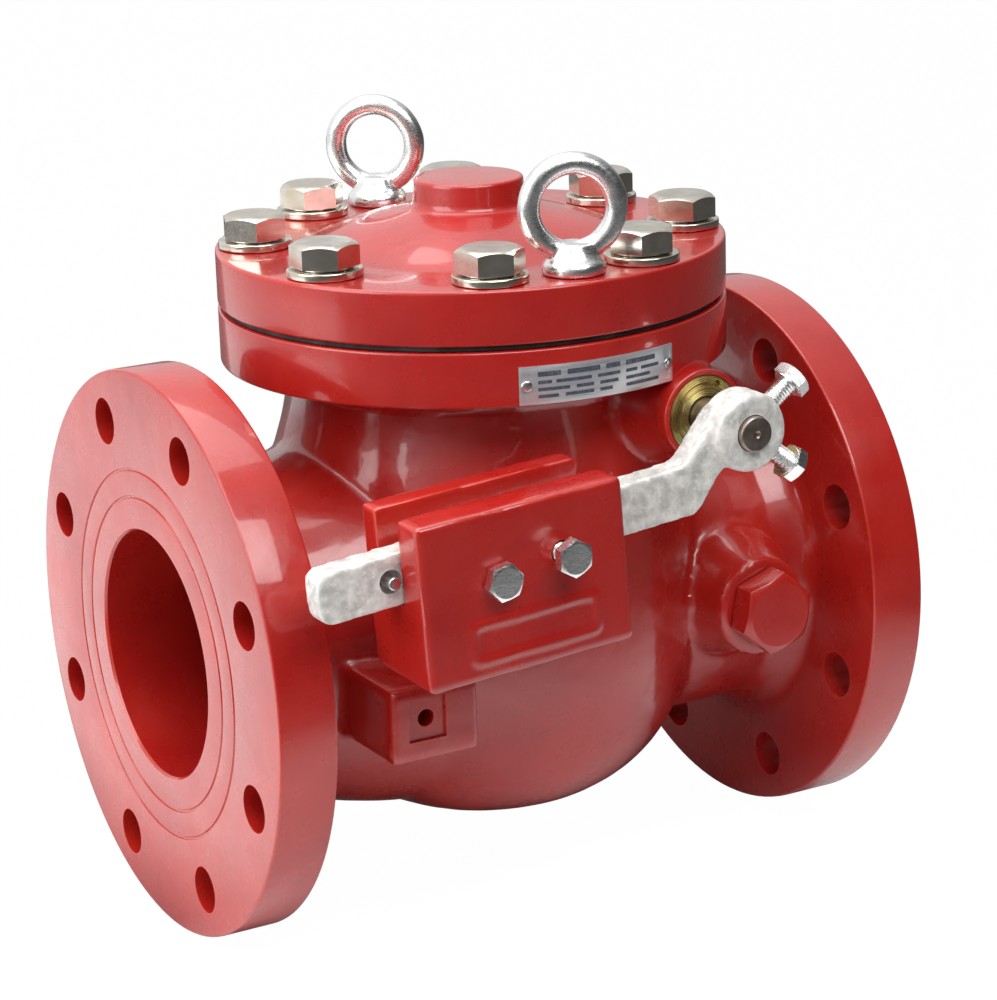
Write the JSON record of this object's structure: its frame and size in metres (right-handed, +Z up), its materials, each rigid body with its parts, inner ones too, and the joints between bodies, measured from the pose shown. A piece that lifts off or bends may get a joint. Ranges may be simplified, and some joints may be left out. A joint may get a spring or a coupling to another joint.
{
  "type": "swing check valve",
  "caption": "Flanged swing check valve with a bolted cover, lifting eyes, and an outside lever with a sliding counterweight on the end of its shaft.",
  "frame": {"origin": "on the pipe axis, midway between the two flange faces", "axes": "+X along the pipe axis towards the inlet flange, +Z up towards the cover, the lever on the -Y side"},
  "size_m": [0.292, 0.2748, 0.3118],
  "materials": {
    "red_enamel": "glossy red enamel over cast iron",
    "zinc": "zinc plated",
    "bright_steel": "bright",
    "galvanised": "dull grey-white galvanised casting",
    "yellow_chromate": "yellow chromate on turned metal",
    "bronze": "turned bronze",
    "rubber": "matt black",
    "gasket": "matt dark sheet",
    "plate": "satin"
  },
  "bodies": {
    "valve_body": {"body": "red_enamel", "cover": "red_enamel", "side_plug": "red_enamel", "nameplate": "plate", "rivet_left": "bright_steel", "rivet_right": "bright_steel", "eyebolt_front": "bright_steel", "eyebolt_rear": "bright_steel", "cover_gasket": "gasket", "end_plug_seal": "gasket", "cover_bolt_1": "zinc", "cover_bolt_2": "zinc", "cover_bolt_3": "zinc", "cover_bolt_4": "zinc", "cover_bolt_5": "zinc", "cover_bolt_6": "zinc", "cover_bolt_7": "zinc", "cover_bolt_8": "zinc", "cover_washer_1": "zinc", "cover_washer_2": "zinc", "cover_washer_3": "zinc", "cover_washer_4": "zinc", "cover_washer_5": "zinc", "cover_washer_6": "zinc", "cover_washer_7": "zinc", "cover_washer_8": "zinc", "shaft_end_plug": "zinc", "seat_ring": "bronze", "front_bush": "bronze", "rear_bush": "bronze", "shaft_packing": "rubber", "gland": "yellow_chromate"},
    "lever_shaft": {"shaft": "bright_steel", "arm_key": "bright_steel", "lever_key": "bright_steel", "disc_arm": "bronze", "lever": "galvanised", "hub_screw_upper": "zinc", "hub_screw_lower": "zinc", "stop_pin": "bright_steel"},
    "disc": {"disc": "bronze", "disc_facing": "rubber", "facing_plate": "bronze", "facing_screw": "bright_steel", "disc_washer": "bright_steel", "disc_nut": "bronze", "split_pin": "bright_steel"},
    "counterweight": {"counterweight": "red_enamel", "weight_bolt_left": "zinc", "weight_bolt_right": "zinc"}
  },
  "joints": [
    {"name": "disc_swing", "type": "hinge", "parent": "valve_body", "child": "lever_shaft", "pos_m": [0.0475, 0, 0.0908], "axis": [0, 1, 0], "range_deg": [0, 58]},
    {"name": "disc_spin", "type": "hinge", "parent": "lever_shaft", "child": "disc", "pos_m": [0.03, 0, 0], "axis": [1, 0, 0], "continuous": true},
    {"name": "weight_slide", "type": "slide", "parent": "lever_shaft", "child": "counterweight", "axis": [0.9954, 0, 0.0958], "range_m": [0, 0.022]}
  ]
}
